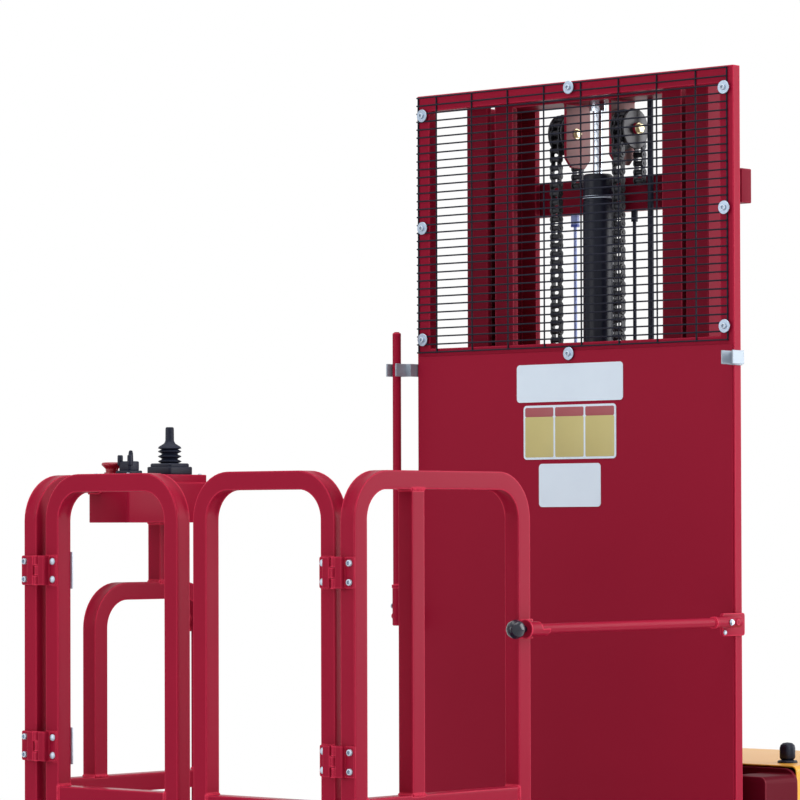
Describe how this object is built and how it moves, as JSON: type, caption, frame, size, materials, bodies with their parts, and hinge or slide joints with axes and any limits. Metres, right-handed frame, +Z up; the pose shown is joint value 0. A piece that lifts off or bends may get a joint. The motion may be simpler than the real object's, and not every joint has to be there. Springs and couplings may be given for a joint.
{
  "type": "order picker truck",
  "caption": "Self-propelled order picker: a railed operator cage with swing gates, mesh mast guard and side console on a two-stage chain mast before a yellow power unit.",
  "frame": {"origin": "on the floor, under the middle of the truck", "axes": "+Z up, -Y towards the cage end, +X to the truck's right as seen by an operator who faces the mast from the cage, with the console on -X"},
  "size_m": [0.816, 1.6, 2.172],
  "materials": {
    "cage_red": "satin",
    "guard_red": "satin",
    "mast_red": "satin",
    "bulkhead_red": "satin",
    "hood_yellow": "satin",
    "frame_red": "satin",
    "console_red": "satin",
    "mesh_black": "satin",
    "cylinder_black": "gloss",
    "rod_chrome": "polished",
    "chain_steel": "oiled",
    "axle_steel": "plain",
    "clip_steel": "zinc",
    "pulley_black": "satin",
    "control_black": "matte",
    "knob_black": "gloss",
    "button_red": "gloss",
    "plate_white": "satin",
    "plate_yellow": "satin",
    "hose_black": "matte",
    "cable_blue": "matte",
    "mat_black": "matte",
    "wheel_tyre": "matte",
    "fork_zinc": "zinc",
    "battery_black": "matte",
    "cap_black": "matte"
  },
  "bodies": {
    "chassis": {"base_frame": "frame_red", "outer_mast": "mast_red", "lift_cylinder": "cylinder_black", "power_hood": "hood_yellow", "bulkhead": "bulkhead_red", "filler_cap": "cap_black", "battery_block": "battery_black", "drive_axles": "axle_steel", "sensor_cable": "cable_blue"},
    "inner_stage": {"inner_mast": "mast_red", "chain_pulleys": "pulley_black", "piston_rod": "rod_chrome", "lift_chains": "chain_steel", "lift_hose": "hose_black"},
    "platform": {"platform_deck": "cage_red", "deck_mat": "mat_black", "side_frame_left": "cage_red", "side_frame_right": "cage_red", "front_panel": "cage_red", "gate_hinges": "cage_red", "guard_frame": "guard_red", "guard_mesh": "mesh_black", "back_plate": "guard_red", "blank_plates_white": "plate_white", "blank_plate_yellow": "plate_yellow", "console_box": "console_red", "controls": "control_black", "stop_button": "button_red", "bar_brackets": "cage_red", "bar_receivers": "cage_red", "ball_knobs": "knob_black", "bar_clips": "clip_steel", "carriage": "mast_red"},
    "gate_left_swing": {"gate_left": "cage_red"},
    "gate_right_swing": {"gate_right": "cage_red"},
    "bar_left_arm": {"bar_left": "cage_red"},
    "bar_right_arm": {"bar_right": "cage_red"},
    "drive_left": {"drive_wheel_left": "wheel_tyre"},
    "drive_right": {"drive_wheel_right": "wheel_tyre"},
    "castor_left_swivel": {"castor_fork_left": "fork_zinc"},
    "castor_left_roll": {"castor_wheel_left": "wheel_tyre"},
    "castor_right_swivel": {"castor_fork_right": "fork_zinc"},
    "castor_right_roll": {"castor_wheel_right": "wheel_tyre"}
  },
  "joints": [
    {"name": "mast_lift", "type": "slide", "parent": "chassis", "child": "inner_stage", "axis": [0, 0, 1], "range_m": [0, 1.35]},
    {"name": "carriage_lift", "type": "slide", "parent": "inner_stage", "child": "platform", "axis": [0, 0, 1], "range_m": [0, 1.35]},
    {"name": "gate_left_hinge", "type": "hinge", "parent": "platform", "child": "gate_left_swing", "pos_m": [-0.3385, -0.766, 1.15], "axis": [0, 0, -1], "range_deg": [0, 90], "stiffness_Nm_per_rad": 3},
    {"name": "gate_right_hinge", "type": "hinge", "parent": "platform", "child": "gate_right_swing", "pos_m": [0.3385, -0.766, 1.15], "axis": [0, 0, 1], "range_deg": [0, 90], "stiffness_Nm_per_rad": 3},
    {"name": "bar_left_pivot", "type": "hinge", "parent": "platform", "child": "bar_left_arm", "pos_m": [-0.392, 0.205, 1.193], "axis": [1, 0, 0], "range_deg": [0, 90]},
    {"name": "bar_right_pivot", "type": "hinge", "parent": "platform", "child": "bar_right_arm", "pos_m": [0.392, 0.205, 1.193], "axis": [-1, 0, 0], "range_deg": [0, 90]},
    {"name": "drive_left_spin", "type": "hinge", "parent": "chassis", "child": "drive_left", "pos_m": [-0.347, 0.56, 0.115], "axis": [1, 0, 0], "continuous": true},
    {"name": "drive_right_spin", "type": "hinge", "parent": "chassis", "child": "drive_right", "pos_m": [0.347, 0.56, 0.115], "axis": [1, 0, 0], "continuous": true},
    {"name": "castor_left_turn", "type": "hinge", "parent": "chassis", "child": "castor_left_swivel", "pos_m": [-0.265, -0.59, 0.187], "axis": [0, 0, 1], "continuous": true},
    {"name": "castor_left_spin", "type": "hinge", "parent": "castor_left_swivel", "child": "castor_left_roll", "pos_m": [-0.265, -0.55, 0.075], "axis": [1, 0, 0], "continuous": true},
    {"name": "castor_right_turn", "type": "hinge", "parent": "chassis", "child": "castor_right_swivel", "pos_m": [0.265, -0.59, 0.187], "axis": [0, 0, 1], "continuous": true},
    {"name": "castor_right_spin", "type": "hinge", "parent": "castor_right_swivel", "child": "castor_right_roll", "pos_m": [0.265, -0.55, 0.075], "axis": [1, 0, 0], "continuous": true}
  ],
  "couplings": [
    {"joint": "carriage_lift", "follows": "mast_lift", "ratio": 1}
  ]
}
